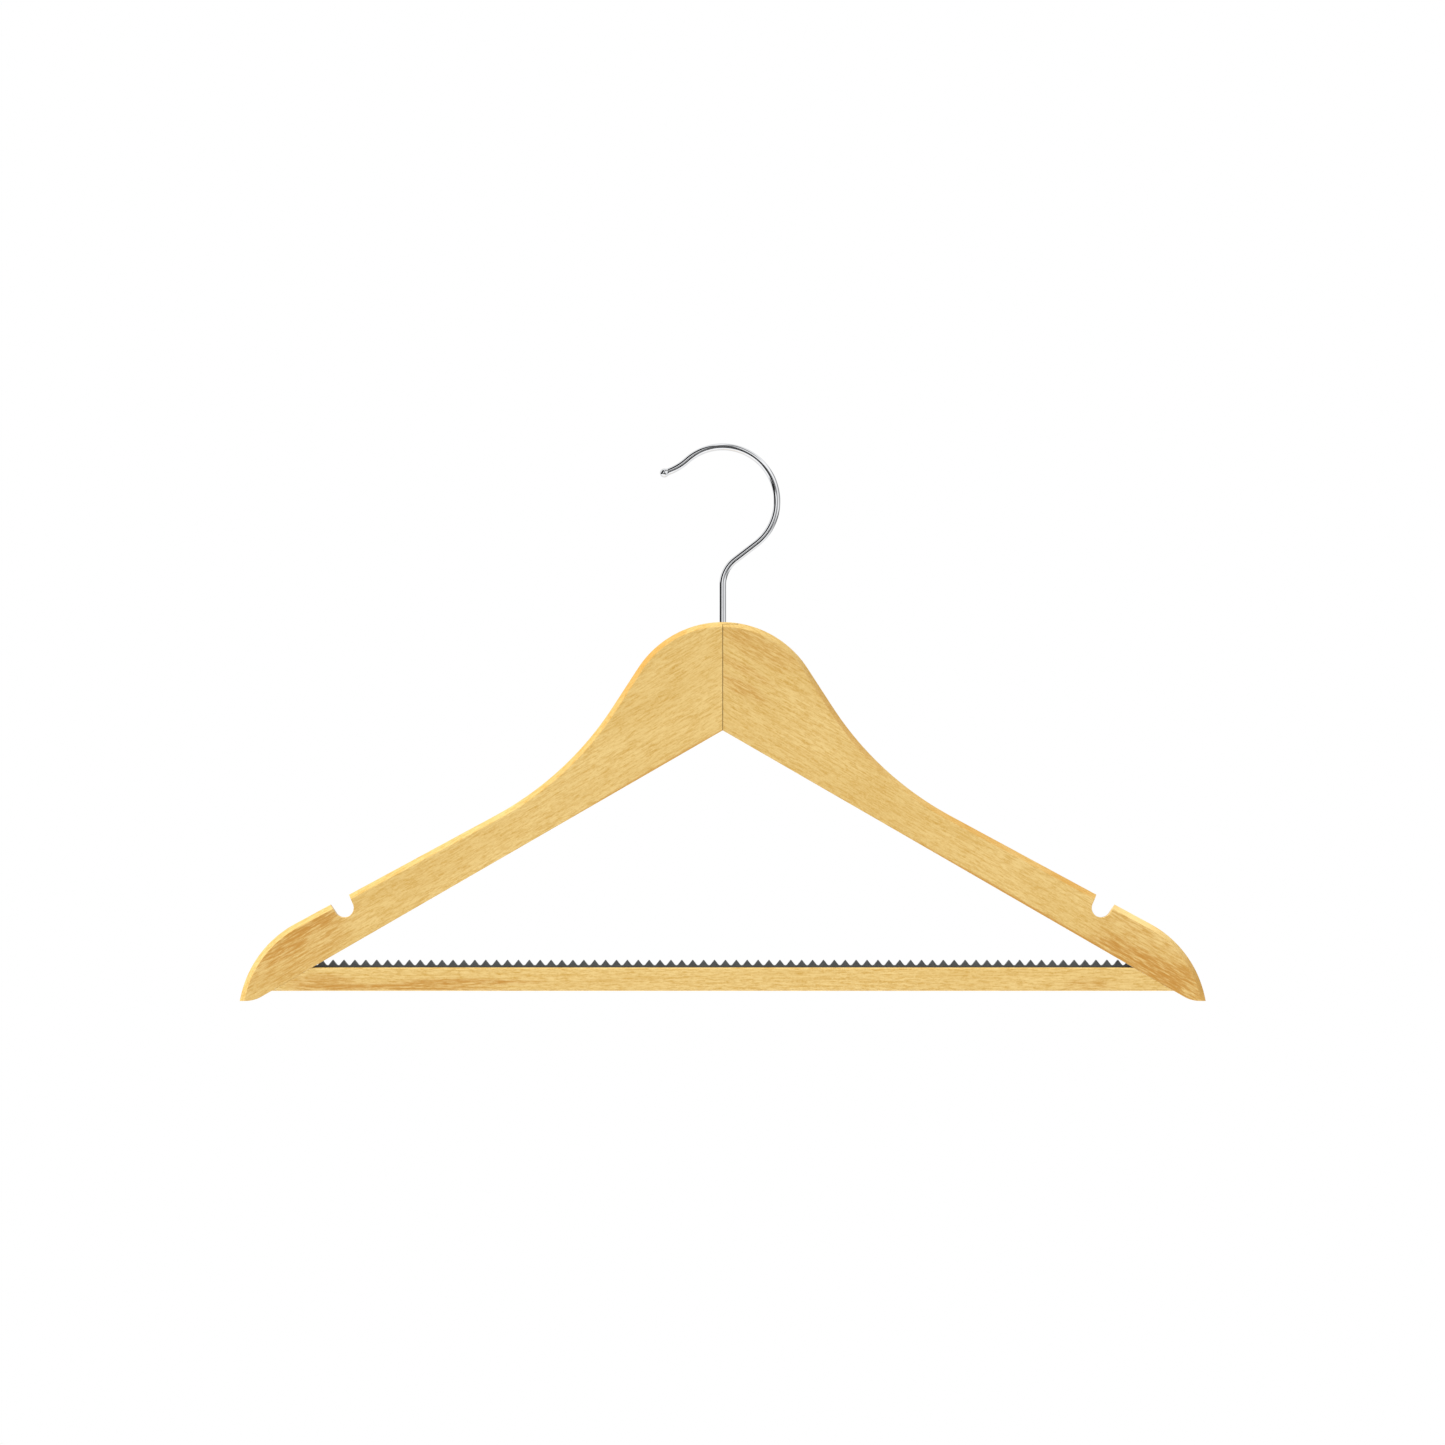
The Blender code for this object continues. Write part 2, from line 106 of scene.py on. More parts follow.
# ---- Hook and what holds it --------------------------------------------------------------------
WIRE = 0.0032  # a diameter, as are BALL, BORE, COUNTERBORE and DOWEL
WIRE_SIDES = 48
WIRE_STEP = 0.0004
LOOP_RADIUS = 0.025
LOOP_PITCH = math.radians(37.6)  # of the straight run between the shank's bend and the loop
BEND_RADIUS = 0.014
LOOP_END = math.radians(222)
CURL_RADIUS = 0.0255
CURL_END = math.radians(198)
BALL = 0.0042
BALL_NECK = 0.0004  # length of the fillet between the wire and the ball
BALL_STEPS = 22
THREAD_LENGTH = 0.006
THREAD_PITCH = 0.0005
THREAD_DEPTH = 0.00022
THREAD_STEPS = 6  # rings in one pitch
SHANK_CHAMFER = 0.0003
CLEARANCE = 0.0003
BORE = WIRE + 2 * CLEARANCE
COUNTERBORE = 0.0086
COUNTERBORE_TOP = 0.036  # below the crown
WASHER_EASE = 0.00015
NUT_FLATS = 0.0055
NUT_CHAMFER = 0.0003
NUT_MARGINS = (0.0001, 0.00001)  # how far the turned cutter stands off its corners and faces

# ---- Trouser bar, dowels and grip strip --------------------------------------------------------
BAR_EASE = 0.0008
BAR_EASE_SEGMENTS = 6
BAR_EASE_PROFILE = 0.42
TRIMMER_NEAR = 0.05  # the stretch of an arm's underside that trims the bar and the strip
TRIMMER_FAR = 0.3
TRIMMER_HEIGHT = 0.12
DOWEL = 0.004
DOWEL_FLUTES = 14
FLUTE_SIDES = 6  # of one flute
FLUTE_DEPTH = 0.00012
DOWEL_CHAMFER = 0.0004
STRIP_BASE = 0.0009  # thickness below the valleys of the teeth
TOOTH_HEIGHT = 0.0025
TOOTH_PITCH = 0.005025
TOOTH_SHIFT = 0.00125  # from the middle of the hanger to the nearest tooth
TOOTH_LAND = 0.0002  # half width of the rounded top
LAND_DROPS = (0.00004, 0.00014)  # how far it falls halfway out and at its end
VALLEY_HALF = 0.0007  # half width of the round between two teeth
VALLEY_RISE = 0.0003
VALLEY_CURVE = ((1.0, 1.0), (0.72, 0.48), (0.36, 0.12))  # shares of its half width and rise
STRIP_EASE = 0.00018
STEM_WIDTH = 0.0016
BARB_WIDTH = 0.0024
STEM_DEPTH = 0.0026

# ---- Wood --------------------------------------------------------------------------------------
WOOD_PALE = (0.681, 0.487, 0.182, 1.0)
WOOD_BODY = (0.622, 0.426, 0.141, 1.0)
WOOD_DARK = (0.49, 0.275, 0.038, 1.0)
WOOD_AMBER = (0.52, 0.24, 0.016, 1.0)
WOOD_BROWN = (0.45, 0.205, 0.020, 1.0)
# Painted highlight: the colour of a brighter stretch of the rim.
WOOD_PAINTED_HIGHLIGHT = (0.80, 0.58, 0.24, 1.0)
ARM_FIGURE = 1.15
BAR_FIGURE = 1.35
# Patches of darker streaks, and painted shade along the lower edges, which is even: (x, z) of the
# middle, half length along the grain, half width across it, strength.
RIGHT_ARM_PATCHES = [
    ((0.014, -0.087), 0.034, 0.011, 0.44),
    ((0.010, -0.101), 0.020, 0.003, 0.40),
    ((0.008, -0.109), 0.019, 0.005, 0.50),
    ((0.192, -0.2365), 0.036, 0.009, 0.95),
    ((0.212, -0.2450), 0.020, 0.009, 0.8),
    ((0.203, -0.2290), 0.045, 0.020, 0.32),
]
# Painted shade: a thin brown line along the right arm's lower edge, where less light falls.
RIGHT_UNDERSIDE_PAINTED_SHADE = [((0.150, -0.2157), 0.100, 0.0015, 0.80)]
LEFT_ARM_PATCHES = [
    ((-0.188, -0.2175), 0.020, 0.0055, 0.8),
    ((-0.202, -0.2290), 0.018, 0.0065, 0.8),
    ((-0.200, -0.2280), 0.045, 0.022, 0.55),
]
# Painted shade: a thin brown line along the left arm's lower edge, where less light falls.
LEFT_UNDERSIDE_PAINTED_SHADE = [((-0.030, -0.1464), 0.060, 0.0013, 0.60)]
BAR_PATCHES = [
    ((-0.150, -0.2485), 0.060, 0.004, 0.9),
    ((-0.185, -0.2455), 0.022, 0.006, 0.65),
    ((-0.120, -0.2450), 0.045, 0.002, 0.9),
    ((0.168, -0.2475), 0.014, 0.006, 0.4),
]
# Tinted stretches of the rounded upper edges, one of them a painted highlight: (x, z) of the
# middle, reach, strength, colour.
RIGHT_RIM_TINTS_AND_HIGHLIGHT = [
    ((0.055, -0.125), 0.050, 0.45, WOOD_AMBER),
    ((0.120, -0.170), 0.050, 0.55, WOOD_AMBER),
    ((0.160, -0.199), 0.026, 0.70, WOOD_AMBER),
    # Painted highlight on the rim past the notch.
    ((0.190, -0.215), 0.022, 0.90, WOOD_PAINTED_HIGHLIGHT),
    ((0.220, -0.247), 0.030, 0.65, WOOD_AMBER),
]
LEFT_RIM_TINTS = [
    ((-0.040, -0.095), 0.045, 0.58, WOOD_AMBER),
    ((-0.075, -0.140), 0.040, 0.30, WOOD_AMBER),
]
RIM_START = 0.97  # how squarely a face looks front or back where the rim's colour starts
RIM_FULL = 0.85

# ---- Camera and light --------------------------------------------------------------------------
CAMERA_LENS = 270.0
CAMERA_SENSOR = 36.0
CAMERA_X = -0.0001
CAMERA_DROP = 0.0002  # below the middle of the hanger's height
FRAME_WIDTH = 0.6653  # what the camera sees across, at the board's front face
FLOOR_DROP = 0.35  # below the hanger
FLOOR_RADIUS = 1.6
FLOOR_SIDES = 96
KEY_DIRECTION = (-0.50, -0.22, 0.84)
KEY = 1.2
KEY_SPREAD = 35
FILL_DIRECTION = (0.0, -1.0, 0.1)
FILL = 0.08
BACK_FILL_DIRECTION = (0.0, 1.0, 0.1)
BACK_FILL = 0.25
FILL_SPREAD = 60
AMBIENT_BELOW = 0.45
AMBIENT_ABOVE = 0.85
ROOM_CENTRE = 1.10  # how bright mirrors see the white room, at a mirror ball's middle and rim
ROOM_RIM = 0.85
ROOM_FALL_START = 0.6
ROOM_FALL_END = 0.9
# Dark cards as strokes on a mirror ball: (x, z) of the start, (x, z) of the end, half width of the
# core, half width at the soft outer edge, darkness.
DARK_CARDS = [
    ((-0.25, 0.47), (-0.60, -0.08), 0.17, 0.20, 1.0),
    ((-0.75, 0.00), (-0.50, -0.16), 0.04, 0.10, 1.0),
    ((-0.60, -0.10), (0.00, -0.08), 0.02, 0.06, 0.8),
    ((-0.27, -0.13), (-0.07, -0.10), 0.08, 0.11, 1.0),
    ((-0.10, -0.17), (0.24, -0.19), 0.09, 0.12, 1.0),
    ((0.02, 0.03), (0.15, 0.07), 0.03, 0.07, 0.9),
    ((0.22, -0.08), (0.26, -0.28), 0.04, 0.14, 1.0),
    ((0.35, -0.25), (0.95, -0.20), 0.01, 0.18, 0.6),
    ((0.00, 0.10), (0.00, 0.42), 0.05, 0.12, 0.9),
    ((0.13, 0.64), (0.26, 0.43), 0.03, 0.15, 0.9),
    ((0.72, 0.40), (0.88, -0.50), 0.03, 0.20, 0.7),
    ((0.14, 0.03), (0.70, 0.10), 0.03, 0.20, 0.2),
]


# ---- Shapes ------------------------------------------------------------------------------------
def trace(start, heading, moves):
    """Points of a path of lines (length, None) and arcs (radius, new heading) in the XZ plane."""
    points = [Vector(start)]
    for size, new_heading in moves:
        here = points[-1]
        if new_heading is None:
            points.append(here + size * Vector((math.cos(heading), math.sin(heading))))
            continue
        turn = new_heading - heading
        side = math.copysign(size, turn)
        centre = here + side * Vector((-math.sin(heading), math.cos(heading)))
        steps = max(2, math.ceil(abs(turn) / ARC_STEP))
        for step in range(1, steps + 1):
            angle = heading + turn * step / steps
            points.append(centre + side * Vector((math.sin(angle), -math.cos(angle))))
        heading = new_heading
    return points


def new_object(name, shape):
    """A mesh object from a bmesh, which is freed."""
    bmesh.ops.recalc_face_normals(shape, faces=shape.faces)
    mesh = bpy.data.meshes.new(name)
    shape.to_mesh(mesh)
    shape.free()
    piece = bpy.data.objects.new(name, mesh)
    bpy.context.scene.collection.objects.link(piece)
    return piece


def loft(name, rings):
    """A closed solid through rings of equally many points, capped at both ends."""
    shape = bmesh.new()
    loops = [[shape.verts.new(point) for point in ring] for ring in rings]
    for lower, upper in zip(loops, loops[1:]):
        for i in range(len(lower)):
            j = (i + 1) % len(lower)
            shape.faces.new((lower[i], lower[j], upper[j], upper[i]))
    shape.faces.new(loops[0])
    shape.faces.new(loops[-1])
    return new_object(name, shape)


def prism(name, outline, depths):
    """An outline in the XZ plane, carried through the given Y positions."""
    return loft(name, [[(x, y, z) for x, z in outline] for y in depths])


def box(name, low, high):
    outline = [(low[0], low[2]), (high[0], low[2]), (high[0], high[2]), (low[0], high[2])]
    return prism(name, outline, (low[1], high[1]))


def circle(radius, z, sides):
    turns = (2 * math.pi * i / sides for i in range(sides))
    return [(radius * math.cos(turn), radius * math.sin(turn), z) for turn in turns]


def round_rod(name, radius, low_z, high_z, sides=ROD_SIDES):
    return loft(name, [circle(radius, z, sides) for z in (low_z, high_z)])


def baked(piece):
    """The piece with its modifiers applied."""
    bpy.context.view_layer.update()
    depsgraph = bpy.context.evaluated_depsgraph_get()
    mesh = bpy.data.meshes.new_from_object(piece.evaluated_get(depsgraph))
    piece.modifiers.clear()
    old = piece.data
    piece.data = mesh
    mesh.name = piece.name
    bpy.data.meshes.remove(old)
    return piece


def cut(piece, *cutters, operation="DIFFERENCE"):
    """Cuts a piece with cutters, or joins it with them. They are used up."""
    for cutter in cutters:
        modifier = piece.modifiers.new(cutter.name, "BOOLEAN")
        modifier.operation = operation
        modifier.object = cutter
    baked(piece)
    for cutter in cutters:
        bpy.data.objects.remove(cutter, do_unlink=True)


def round_edges(piece, width, segments, limit="ANGLE", profile=0.5):
    """Bevels the sharp edges, or with limit="WEIGHT" those that have a bevel weight."""
    modifier = piece.modifiers.new("round", "BEVEL")
    modifier.width = width
    modifier.segments = segments
    modifier.profile = profile
    modifier.limit_method = limit
    modifier.use_clamp_overlap = limit == "ANGLE"
    return baked(piece)


def shade(piece, sharp_above):
    """Smooth shading that keeps flat faces flat and edges above an angle sharp."""
    piece.data.shade_smooth()
    piece.data.set_sharp_from_angle(angle=math.radians(sharp_above))
    modifier = piece.modifiers.new("normals", "WEIGHTED_NORMAL")
    modifier.keep_sharp = True
    return baked(piece)


def place(piece, body, nodes, material):
    """Puts a finished piece on its body, instead of its CAD nodes."""
    piece.data.materials.clear()
    piece.data.materials.append(material)
    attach(piece, body)
    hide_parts(*nodes)


# ---- Arms --------------------------------------------------------------------------------------
def upper_edge(crown_z):
    """The right arm's outline from the crown to the tip."""
    moves = [
        (CROWN_RADIUS, -FLANK_PITCH),
        (FLANK_LENGTH, None),
        (SCOOP_RADIUS, -SHOULDER_PITCH),
        (SHOULDER_LENGTH, None),
        (TIP_RADIUS, -TIP_PITCH),
    ]
    return trace((0.0, crown_z), 0.0, moves)


def underside_z(crown_z, x):
    return crown_z - NECK_HEIGHT - abs(x) * math.tan(UNDERSIDE_PITCH)


def lower_edge(crown_z, base_z):
    """The right arm's outline from its heel to the V under the neck."""
    corner_x = (crown_z - NECK_HEIGHT - base_z) / math.tan(UNDERSIDE_PITCH)
    tangent = HEEL_RADIUS * math.tan(UNDERSIDE_PITCH / 2)
    heel = trace((corner_x + tangent, base_z), math.pi, [(HEEL_RADIUS, math.pi - UNDERSIDE_PITCH)])
    return heel + [Vector((0.0, crown_z - NECK_HEIGHT))]


def make_blank(crown_z, half_board):
    """Both arms as one board with its edges rounded."""
    upper = upper_edge(crown_z)
    right = upper + lower_edge(crown_z, upper[-1].y)
    outline = right + [Vector((-point.x, point.y)) for point in reversed(right[1:-1])]
    blank = prism("blank", outline, (-half_board, half_board))
    shape = bmesh.new()
    shape.from_mesh(blank.data)
    weight = shape.edges.layers.float.new("bevel_weight_edge")
    for edge in shape.edges:
        sides = [face for face in edge.link_faces if abs(face.normal.y) < 0.5]
        if len(sides) == 1:
            edge[weight] = 1.0 if sides[0].normal.z > 0 else EASE / ROUND_OVER
    shape.to_mesh(blank.data)
    shape.free()
    return round_edges(blank, ROUND_OVER, EDGE_SEGMENTS, limit="WEIGHT", profile=EDGE_PROFILE)


def neck_cutter(crown_z, base_z, half_board, far_x):
    """Everything to the right of the left arm's end, tongue and groove included."""
    reach = half_board + OVERSHOOT
    slack = SEAM / 2
    tongue_root = TONGUE_ROOT / 2 - slack
    tongue_tip = TONGUE_TIP / 2 - slack
    groove_root = TONGUE_ROOT / 2 + slack
    groove_tip = TONGUE_TIP / 2 + slack
    outline = [
        (-slack, -reach),
        (-slack, -TONGUE_OFFSET - tongue_root),
        (TONGUE_LENGTH - slack, -TONGUE_OFFSET - tongue_tip),
        (TONGUE_LENGTH - slack, -TONGUE_OFFSET + tongue_tip),
        (-slack, -TONGUE_OFFSET + tongue_root),
        (-slack, TONGUE_OFFSET - groove_root),
        (-TONGUE_LENGTH - slack, TONGUE_OFFSET - groove_tip),
        (-TONGUE_LENGTH - slack, TONGUE_OFFSET + groove_tip),
        (-slack, TONGUE_OFFSET + groove_root),
        (-slack, reach),
        (far_x + OVERSHOOT, reach),
        (far_x + OVERSHOOT, -reach),
    ]
    heights = (base_z - OVERSHOOT, crown_z + OVERSHOOT)
    return loft("neck_cutter", [[(x, y, z) for x, y in outline] for z in heights])


def notch_cutter(crown_z, half_board):
    """A round-bottomed slot square to the left shoulder, which flares a little at both faces."""

    def ring(y, flare):
        radius = NOTCH_RADIUS + flare
        mouth = NOTCH_MOUTH + flare
        bottom = trace((-radius, 0.0), -math.pi / 2, [(radius, math.pi / 2)])
        top = [(mouth, NOTCH_RADIUS), (mouth, 2 * NOTCH_RADIUS)]
        top += [(-x, z) for x, z in reversed(top)]
        return [(x, y, z) for x, z in [tuple(point) for point in bottom] + top]

    front = [(-half_board - OVERSHOOT, NOTCH_EASE)]
    for depth, flare in NOTCH_FLARES:
        front.append((-half_board + NOTCH_EASE * depth, NOTCH_EASE * flare))
    levels = front + [(-y, flare) for y, flare in reversed(front)]
    cutter = loft("notch_cutter", [ring(y, flare) for y, flare in levels])
    cutter.rotation_euler.y = -SHOULDER_PITCH
    cutter.location = (-NOTCH_X, 0.0, crown_z - NOTCH_BELOW_CROWN)
    return cutter


def make_arms(left_wood, right_wood):
    """Both arms, cut from one blank. The right arm is the left one turned round."""
    low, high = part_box("left_arm")
    crown_z = high.z
    half_board = high.y
    dowel_low, dowel_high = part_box("left_bar_dowel")
    blank = make_blank(crown_z, half_board)
    bore = round_rod("bore", BORE / 2, crown_z - COUNTERBORE_TOP - OVERSHOOT, crown_z + OVERSHOOT)
    counterbore = round_rod(
        "counterbore",
        COUNTERBORE / 2,
        crown_z - NECK_HEIGHT - OVERSHOOT,
        crown_z - COUNTERBORE_TOP,
    )
    socket = lying_rod("socket", dowel_low, dowel_high, CLEARANCE)
    cut(
        blank,
        neck_cutter(crown_z, low.z, half_board, -low.x),
        notch_cutter(crown_z, half_board),
        bore,
        counterbore,
        socket,
    )
    shade(blank, ARM_CREASE)
    right = bpy.data.objects.new("arm_right", blank.data.copy())
    bpy.context.scene.collection.objects.link(right)
    right.data.transform(Matrix.Rotation(math.pi, 4, "Z"))
    blank.name = "arm_left"
    for piece, node, wood in ((blank, "left_arm", left_wood), (right, "right_arm", right_wood)):
        place(piece, "hanger_frame", [node], wood)


# ---- Trouser bar -------------------------------------------------------------------------------
def lying_rod(name, low, high, grow):
    """A rod along X that fills a box, made larger all round."""
    radius = (high.z - low.z) / 2 + grow
    rod = round_rod(name, radius, low.x - grow, high.x + grow)
    rod.data.transform(Matrix.Rotation(math.pi / 2, 4, "Y"))
    rod.location.z = (high.z + low.z) / 2
    return rod


def end_trimmer(side, crown_z, gap):
    """A block above an arm's underside, which leaves the given gap below it."""
    drop = gap / math.cos(UNDERSIDE_PITCH)
    near_z = underside_z(crown_z, TRIMMER_NEAR)
    far_z = underside_z(crown_z, TRIMMER_FAR)
    outline = [
        (side * TRIMMER_NEAR, near_z - drop),
        (side * TRIMMER_FAR, far_z - drop),
        (side * TRIMMER_FAR, near_z + TRIMMER_HEIGHT),
        (side * TRIMMER_NEAR, near_z + TRIMMER_HEIGHT),
    ]
    return prism(f"trimmer_{side}", outline, (-2 * OVERSHOOT, 2 * OVERSHOOT))


def make_bar(material):
    """The eased bar with its groove and dowel sockets, trimmed to the arms' undersides."""
    low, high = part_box("trouser_bar")
    crown_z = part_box("left_arm")[1].z
    bar = box("bar", (low.x - OVERSHOOT, low.y, low.z), (high.x + OVERSHOOT, high.y, high.z))
    round_edges(bar, BAR_EASE, BAR_EASE_SEGMENTS, profile=BAR_EASE_PROFILE)
    half_groove = BARB_WIDTH / 2 + CLEARANCE
    depth = STEM_DEPTH + CLEARANCE
    reach = high.x + 2 * OVERSHOOT
    groove = box(
        "groove", (-reach, -half_groove, high.z - depth), (reach, half_groove, high.z + depth)
    )
    sockets = [
        lying_rod(f"{node}_socket", *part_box(node), CLEARANCE)
        for node in ("left_bar_dowel", "right_bar_dowel")
    ]
    trimmers = [end_trimmer(side, crown_z, HAIR) for side in (-1, 1)]
    cut(bar, groove, *sockets, *trimmers)
    shade(bar, BAR_CREASE)
    place(bar, "hanger_frame", ["trouser_bar"], material)


def fluted_ring(x, middle_z, inset):
    ring = []
    sides = DOWEL_FLUTES * FLUTE_SIDES
    for i in range(sides):
        turn = 2 * math.pi * i / sides
        flute = FLUTE_DEPTH * (0.5 - 0.5 * math.cos(DOWEL_FLUTES * turn))
        radius = DOWEL / 2 - flute - inset
        ring.append((x, radius * math.cos(turn), middle_z + radius * math.sin(turn)))
    return ring


def make_dowels(material):
    """Fluted dowels with chamfered ends."""
    for name, node in (("dowel_left", "left_bar_dowel"), ("dowel_right", "right_bar_dowel")):
        low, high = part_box(node)
        stations = [
            (low.x, DOWEL_CHAMFER),
            (low.x + DOWEL_CHAMFER, 0.0),
            (high.x - DOWEL_CHAMFER, 0.0),
            (high.x, DOWEL_CHAMFER),
        ]
        middle_z = (low.z + high.z) / 2
        rings = [fluted_ring(x, middle_z, inset) for x, inset in stations]
        dowel = shade(loft(name, rings), DOWEL_CREASE)
        place(dowel, "hanger_frame", [node], material)


# ---- Grip strip --------------------------------------------------------------------------------
def tooth(middle):
    """Upper outline of one tooth, from the valley on its left to the one on its right."""
    half = TOOTH_PITCH / 2
    right = [
        (0.0, TOOTH_HEIGHT),
        (TOOTH_LAND / 2, TOOTH_HEIGHT - LAND_DROPS[0]),
        (TOOTH_LAND, TOOTH_HEIGHT - LAND_DROPS[1]),
    ]
    right += [(half - VALLEY_HALF * x, VALLEY_RISE * z) for x, z in VALLEY_CURVE]
    left = [(-x, z) for x, z in reversed(right[1:])]
    return [(middle + x, STRIP_BASE + z) for x, z in left + right + [(half, 0.0)]]


def make_strip(material):
    """A toothed flange on a barbed stem, pressed into the bar's groove."""
    low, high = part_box("grip_strip")
    bar_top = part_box("trouser_bar")[1].z
    crown_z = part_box("left_arm")[1].z
    teeth_each_side = math.ceil(high.x / TOOTH_PITCH) + 1
    outline = []
    for index in range(-teeth_each_side, teeth_each_side + 1):
        outline += tooth(index * TOOTH_PITCH + TOOTH_SHIFT)
    outline = [(outline[0][0], HAIR), *outline, (outline[-1][0], HAIR)]
    strip = prism("strip", outline, (low.y, high.y))
    round_edges(strip, STRIP_EASE, SMALL_EASE_SEGMENTS)
    barb_z = -STEM_DEPTH / 2
    profile = [
        (STEM_WIDTH / 2, STRIP_BASE / 2),
        (STEM_WIDTH / 2, barb_z + BARB_WIDTH / 2 - STEM_WIDTH / 2),
        (BARB_WIDTH / 2, barb_z),
        (STEM_WIDTH / 2, -STEM_DEPTH),
    ]
    profile += [(-y, z) for y, z in reversed(profile)]
    stem = loft("stem", [[(x, y, z) for y, z in profile] for x in (low.x, high.x)])
    cut(strip, stem, operation="UNION")
    strip.location.z = bar_top
    cut(strip, *[end_trimmer(side, crown_z, HAIR) for side in (-1, 1)])
    strip.data.transform(Matrix.Translation(strip.location))
    strip.location.z = 0.0
    shade(strip, STRIP_CREASE)
    place(strip, "hanger_frame", ["grip_strip"], material)


# ---- Hook, washer and nut ----------------------------------------------------------------------
def hook_path(shank_bottom):
    """Centreline from the shank's end up round the loop to the curled tip."""
    run_x = LOOP_RADIUS * math.sin(LOOP_PITCH) - BEND_RADIUS * (1 - math.sin(LOOP_PITCH))
    run = run_x / math.cos(LOOP_PITCH)
    rise = (BEND_RADIUS + LOOP_RADIUS) * math.cos(LOOP_PITCH) + run * math.sin(LOOP_PITCH)
    shank = WIRE / 2 - LOOP_RADIUS - rise - shank_bottom
    moves = [
        (shank, None),
        (BEND_RADIUS, LOOP_PITCH),
        (run, None),
        (LOOP_RADIUS, LOOP_END),
        (CURL_RADIUS, CURL_END),
    ]
    return trace((0.0, shank_bottom), math.pi / 2, moves)


def even_stations(points, step):
    """The path again with even short steps: (position, distance along it)."""
    lengths = [0.0]
    for a, b in zip(points, points[1:]):
        lengths.append(lengths[-1] + (b - a).length)
    total = lengths[-1]
    count = math.ceil(total / step)
    stations = []
    segment = 0
    for i in range(count + 1):
        along = total * i / count
        while segment < len(points) - 2 and lengths[segment + 1] < along:
            segment += 1
        share = (along - lengths[segment]) / (lengths[segment + 1] - lengths[segment])
        stations.append((points[segment].lerp(points[segment + 1], share), along))
    return stations


def wire_ring(position, heading, radius_at):
    """A ring square to a heading in the XZ plane. Its radius is a function of the turn."""
    normal = Vector((-math.sin(heading), math.cos(heading)))
    ring = []
    for i in range(WIRE_SIDES):
        turn = 2 * math.pi * i / WIRE_SIDES
        radius = radius_at(turn)
        across = radius * math.cos(turn)
        x = position.x + normal.x * across
        z = position.y + normal.y * across
        ring.append((x, radius * math.sin(turn), z))
    return ring


def thread_rings(base_z):
    """The shank's chamfered, threaded end. The thread runs out at its top."""
    rings = []
    count = math.ceil(THREAD_LENGTH / (THREAD_PITCH / THREAD_STEPS))
    for step in range(count):
        along = THREAD_LENGTH * step / count
        taper = min(1.0, (THREAD_LENGTH - along) / (2 * THREAD_PITCH))
        chamfer = max(0.0, SHANK_CHAMFER - along)

        def threaded(turn, along=along, taper=taper, chamfer=chamfer):
            phase = (along / THREAD_PITCH - turn / (2 * math.pi)) % 1.0
            return WIRE / 2 - chamfer - taper * THREAD_DEPTH * abs(2 * phase - 1)

        rings.append(wire_ring(Vector((0.0, base_z + along)), math.pi / 2, threaded))
    return rings


def make_hook(material):
    """A wire of round section, threaded at its hidden end and upset to a ball at its tip."""
    base_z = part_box("hook")[0].z
    stations = even_stations(hook_path(base_z), WIRE_STEP)
    rings = thread_rings(base_z)
    for i, (position, along) in enumerate(stations):
        if along < THREAD_LENGTH:
            continue
        before = stations[i - 1][0]
        after = stations[min(len(stations) - 1, i + 1)][0]
        heading = math.atan2(after.y - before.y, after.x - before.x)
        rings.append(wire_ring(position, heading, lambda turn: WIRE / 2))

    forward = Vector((math.cos(CURL_END), math.sin(CURL_END)))
    ball = BALL / 2
    start = math.asin(WIRE / BALL)
    centre = stations[-1][0] + forward * ball / 2
    neck_end = -ball * math.cos(start) - BALL_NECK

    def past_neck(ring):
        x, _, z = ring[0]
        return (Vector((x, z)) - centre).dot(forward) > neck_end

    while past_neck(rings[-1]):
        rings.pop()
    for step in range(1, BALL_STEPS):
        angle = start + (math.pi - start) * step / BALL_STEPS
        position = centre - forward * ball * math.cos(angle)
        size = ball * math.sin(angle)
        rings.append(wire_ring(position, CURL_END, lambda turn, size=size: size))
    hook = shade(loft("hook_wire", rings), WIRE_CREASE)
    place(hook, "hook", ["hook"], material)


def make_washer(material):
    """A stamped ring with its rims rounded."""
    low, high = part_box("hook_washer")
    washer = round_rod("washer", high.x, low.z, high.z, sides=FINE_SIDES)
    hole = round_rod("washer_hole", BORE / 2, low.z - OVERSHOOT, high.z + OVERSHOOT)
    cut(washer, hole)
    round_edges(washer, WASHER_EASE, SMALL_EASE_SEGMENTS)
    shade(washer, METAL_CREASE)
    place(washer, "hanger_frame", ["hook_washer"], material)


def make_nut(material):
    """A hexagon nut with turned corners."""
    low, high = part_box("hook_nut")
    corner = NUT_FLATS / math.sqrt(3)
    nut = round_rod("nut", corner, low.z, high.z, sides=6)
    around, above = NUT_MARGINS
    stations = [
        (corner - 2 * NUT_CHAMFER, low.z - above),
        (corner + around, low.z + NUT_CHAMFER),
        (corner + around, high.z - NUT_CHAMFER),
        (corner - 2 * NUT_CHAMFER, high.z + above),
    ]
    turned = loft("turned", [circle(radius, z, FINE_SIDES) for radius, z in stations])
    cut(nut, turned, operation="INTERSECT")
    cut(nut, round_rod("nut_hole", BORE / 2, low.z - OVERSHOOT, high.z + OVERSHOOT))
    shade(nut, METAL_CREASE)
    place(nut, "hook", ["hook_nut"], material)


